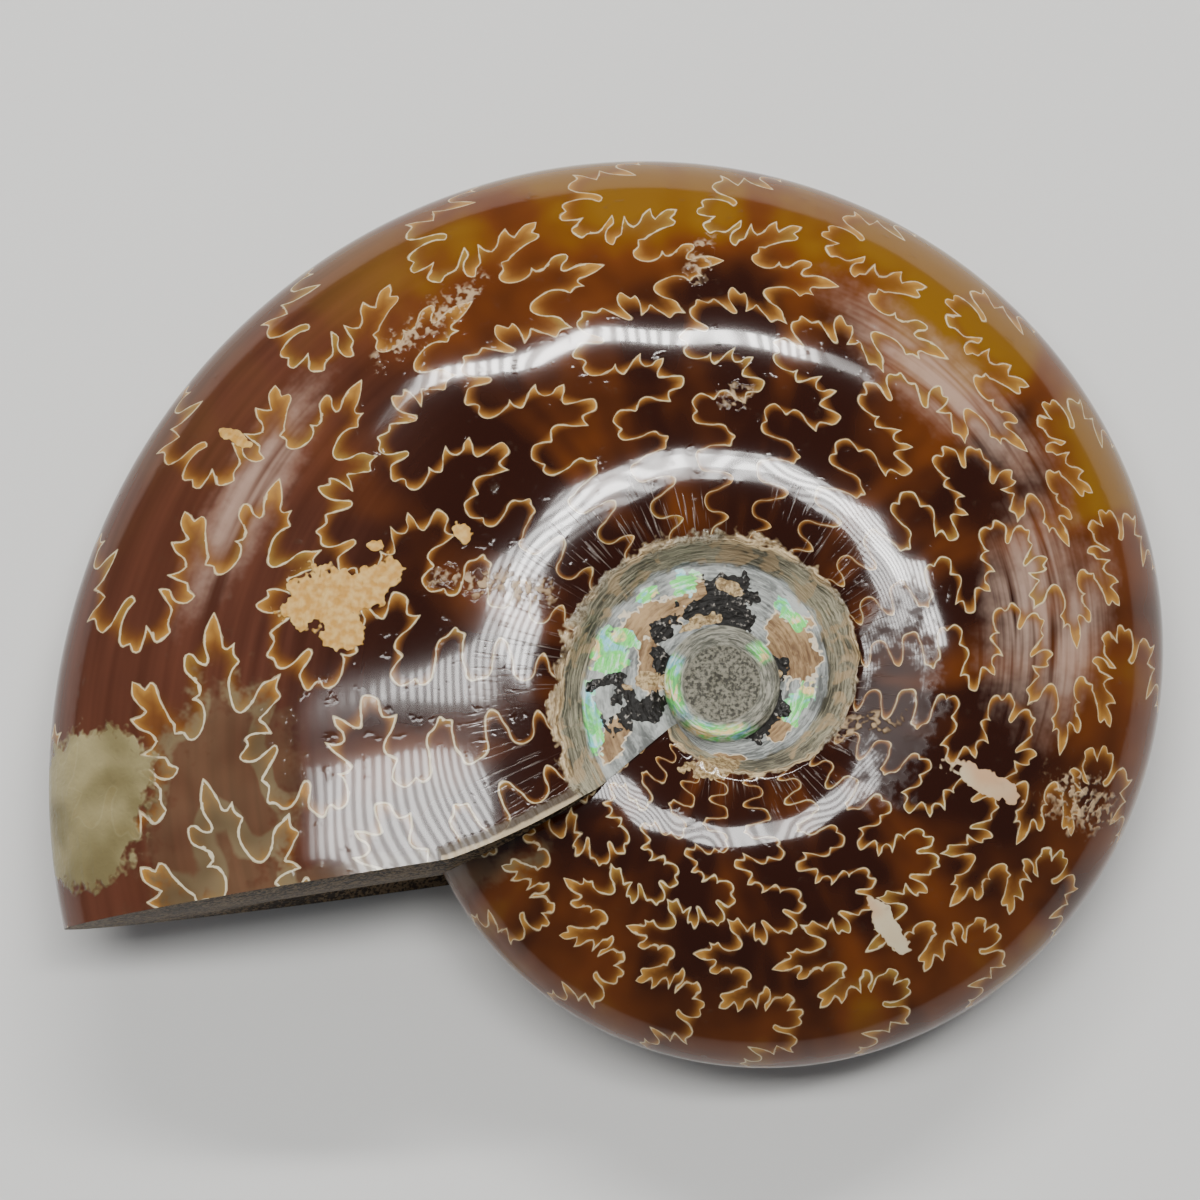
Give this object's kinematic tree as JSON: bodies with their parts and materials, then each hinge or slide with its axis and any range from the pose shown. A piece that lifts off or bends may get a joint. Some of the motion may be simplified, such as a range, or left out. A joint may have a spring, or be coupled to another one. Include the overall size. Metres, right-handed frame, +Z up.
{
  "type": "ammonite fossil",
  "caption": "Polished ammonite fossil: an involute spiral shell lying on its flank, with a narrow stepped umbilicus and a straight sawn aperture.",
  "frame": {"origin": "middle of the object's outline from above, at the height of the surface that it rests on", "axes": "+X the long way across the coil, with the sawn aperture towards -X; +Y across it; +Z up, out of the upper flank"},
  "size_m": [0.1502, 0.1238, 0.043],
  "materials": {
    "polished_stone": "high polish, amber to dark red-brown with cream suture lines"
  },
  "bodies": {
    "root": {"ammonite": "polished_stone"}
  },
  "joints": []
}
